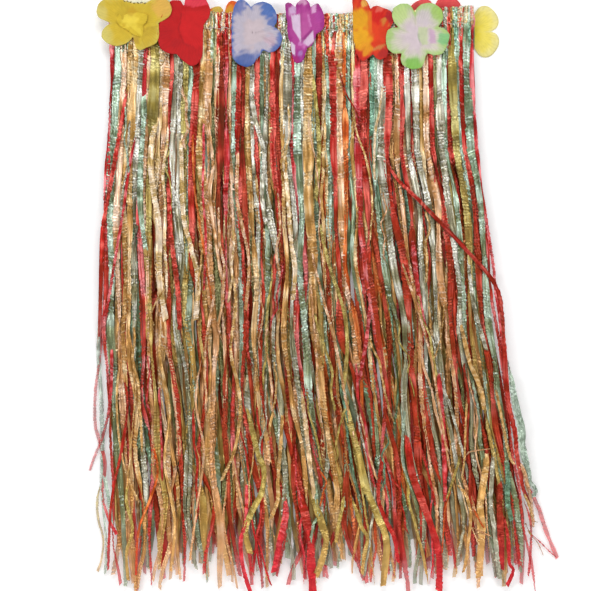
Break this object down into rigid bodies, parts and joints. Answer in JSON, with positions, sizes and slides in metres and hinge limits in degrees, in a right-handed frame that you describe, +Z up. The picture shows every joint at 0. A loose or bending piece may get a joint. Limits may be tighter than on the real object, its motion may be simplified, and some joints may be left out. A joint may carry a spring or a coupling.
{
  "type": "hula skirt",
  "caption": "Party hula skirt laid flat: gathered elastic waistband, long crinkled foil fringe in red, gold and mint, and cloth flowers sewn around the waist.",
  "frame": {"origin": "middle of the laid-flat skirt's bounding box, on the surface that it lies on", "axes": "+Y from hem to waist, +X to the viewer's right as the front is seen from above, +Z up from the surface, front side up"},
  "size_m": [0.5032, 0.6474, 0.0181],
  "materials": {
    "band_foil": "crinkled shiny film over elastic",
    "back_foil": "crinkled shiny film",
    "under_foil": "crinkled shiny film",
    "top_foil": "crinkled shiny film",
    "flower_front_yellow_cloth": "matte printed cloth",
    "flower_front_red_cloth": "matte printed cloth",
    "flower_front_blue_cloth": "matte printed cloth",
    "flower_front_magenta_cloth": "matte printed cloth",
    "flower_front_orange_cloth": "matte printed cloth",
    "flower_front_green_cloth": "matte printed cloth",
    "flower_back_cream_cloth": "matte printed cloth",
    "flower_back_gold_cloth": "matte printed cloth",
    "flower_back_blue_cloth": "matte printed cloth",
    "flower_back_magenta_cloth": "matte printed cloth",
    "flower_back_red_cloth": "matte printed cloth",
    "flower_side_yellow_cloth": "matte printed cloth"
  },
  "bodies": {
    "root": {"waistband": "band_foil", "fringe_back_lower": "back_foil", "fringe_front_under": "under_foil", "fringe_front_top": "top_foil", "flower_front_yellow": "flower_front_yellow_cloth", "flower_front_red": "flower_front_red_cloth", "flower_front_blue": "flower_front_blue_cloth", "flower_front_magenta": "flower_front_magenta_cloth", "flower_front_orange": "flower_front_orange_cloth", "flower_front_green": "flower_front_green_cloth", "flower_back_cream": "flower_back_cream_cloth", "flower_back_gold": "flower_back_gold_cloth", "flower_back_blue": "flower_back_blue_cloth", "flower_back_magenta": "flower_back_magenta_cloth", "flower_back_red": "flower_back_red_cloth", "flower_side_yellow": "flower_side_yellow_cloth"}
  },
  "joints": []
}
